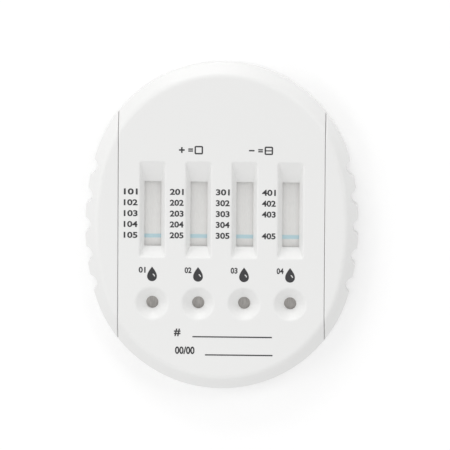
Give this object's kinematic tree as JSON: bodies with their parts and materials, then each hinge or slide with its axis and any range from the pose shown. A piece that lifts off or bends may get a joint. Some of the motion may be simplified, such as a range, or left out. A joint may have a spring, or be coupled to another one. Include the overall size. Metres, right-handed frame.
{
  "type": "lateral flow cassette",
  "caption": "Oval moulded test cassette with a row of sloped result windows, dished sample wells, scalloped side grips and layered test strips inside.",
  "frame": {"origin": "middle of the flat back, on the surface that the cassette lies on", "axes": "+Z out of the face, +Y along the strips from the sample wells to the result windows, +X to the right when the face is read"},
  "size_m": [0.0712, 0.0856, 0.008],
  "materials": {
    "cover_plastic": "white moulded plastic with a soft satin sheen",
    "shell_plastic": "white moulded plastic with a soft satin sheen",
    "backing_card": "smooth white card",
    "sample_pad": "off-white fibre pad",
    "conjugate_pad": "glass fibre pad",
    "membrane": "matt off-white membrane",
    "absorbent_pad": "thick cotton fibre wick"
  },
  "bodies": {
    "root": {"front_cover": "cover_plastic", "back_shell": "shell_plastic", "strip_1_backing_card": "backing_card", "strip_1_sample_pad": "sample_pad", "strip_1_conjugate_pad": "conjugate_pad", "strip_1_membrane": "membrane", "strip_1_absorbent_pad": "absorbent_pad", "strip_2_backing_card": "backing_card", "strip_2_sample_pad": "sample_pad", "strip_2_conjugate_pad": "conjugate_pad", "strip_2_membrane": "membrane", "strip_2_absorbent_pad": "absorbent_pad", "strip_3_backing_card": "backing_card", "strip_3_sample_pad": "sample_pad", "strip_3_conjugate_pad": "conjugate_pad", "strip_3_membrane": "membrane", "strip_3_absorbent_pad": "absorbent_pad", "strip_4_backing_card": "backing_card", "strip_4_sample_pad": "sample_pad", "strip_4_conjugate_pad": "conjugate_pad", "strip_4_membrane": "membrane", "strip_4_absorbent_pad": "absorbent_pad"}
  },
  "joints": []
}
